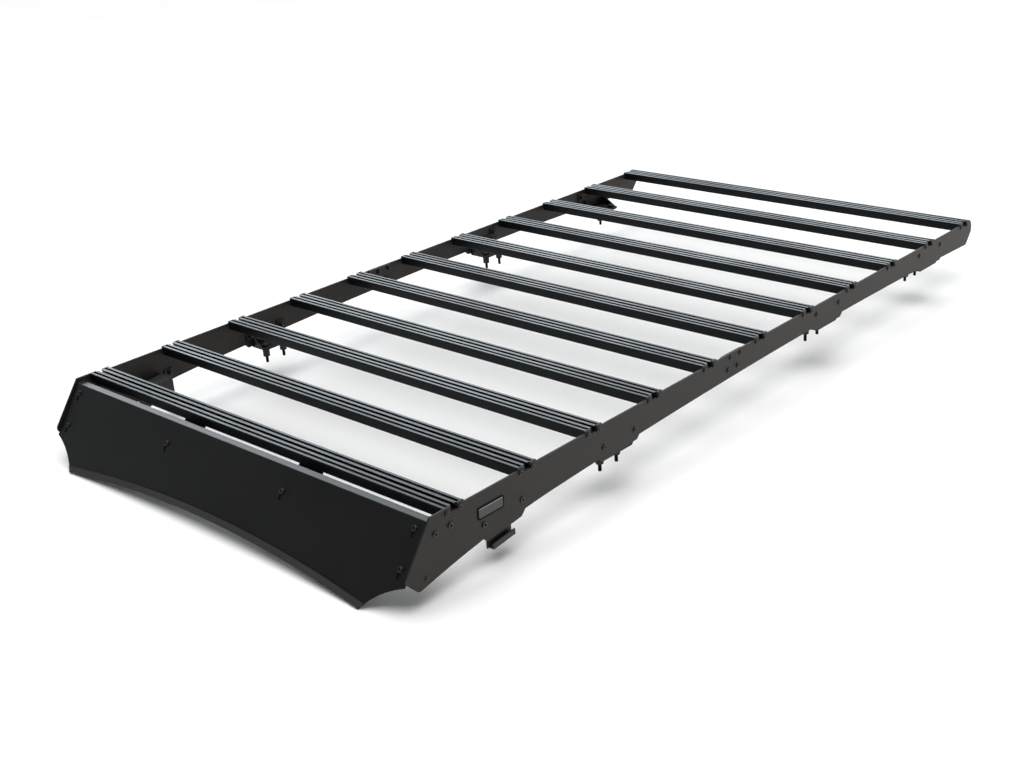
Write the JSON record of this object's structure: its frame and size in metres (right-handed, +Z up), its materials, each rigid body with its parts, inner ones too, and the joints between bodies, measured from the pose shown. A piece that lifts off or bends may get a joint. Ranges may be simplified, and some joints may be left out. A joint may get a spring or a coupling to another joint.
{
  "type": "flat platform roof rack",
  "caption": "Flat roof rack: slotted crossbars between two cut side plates on bracket feet, with a leaning wind deflector across the front.",
  "frame": {"origin": "the middle of the rack's footprint, at the height of its lowest point, the deflector's trim", "axes": "X across the rack with +X to its left side, Y along it with the deflector at -Y, Z up"},
  "size_m": [1.186, 2.2384, 0.1725],
  "materials": {
    "bar_black": "satin black powder coat",
    "plate_black": "textured black powder coat",
    "sheet_black": "satin black powder coat",
    "bracket_black": "black powder coat",
    "stud_steel": "black zinc",
    "trim_rubber": "extruded rubber"
  },
  "bodies": {
    "root": {"crossbar_01": "bar_black", "crossbar_02": "bar_black", "crossbar_03": "bar_black", "crossbar_04": "bar_black", "crossbar_05": "bar_black", "crossbar_06": "bar_black", "crossbar_07": "bar_black", "crossbar_08": "bar_black", "crossbar_09": "bar_black", "crossbar_10": "bar_black", "crossbar_11": "bar_black", "deflector_edge_trim": "trim_rubber", "left_deflector_angle": "sheet_black", "left_deflector_strap": "sheet_black", "left_foot_1": "bracket_black", "left_foot_2": "bracket_black", "left_foot_2_studs": "stud_steel", "left_foot_3": "bracket_black", "left_foot_3_studs": "stud_steel", "left_foot_4": "bracket_black", "left_foot_4_studs": "stud_steel", "left_side_plate_front": "plate_black", "left_side_plate_rear": "plate_black", "left_splice_plate": "plate_black", "right_deflector_angle": "sheet_black", "right_deflector_strap": "sheet_black", "right_foot_1": "bracket_black", "right_foot_2": "bracket_black", "right_foot_2_studs": "stud_steel", "right_foot_3": "bracket_black", "right_foot_3_studs": "stud_steel", "right_foot_4": "bracket_black", "right_foot_4_studs": "stud_steel", "right_side_plate_front": "plate_black", "right_side_plate_rear": "plate_black", "right_splice_plate": "plate_black", "wind_deflector": "sheet_black"}
  },
  "joints": []
}
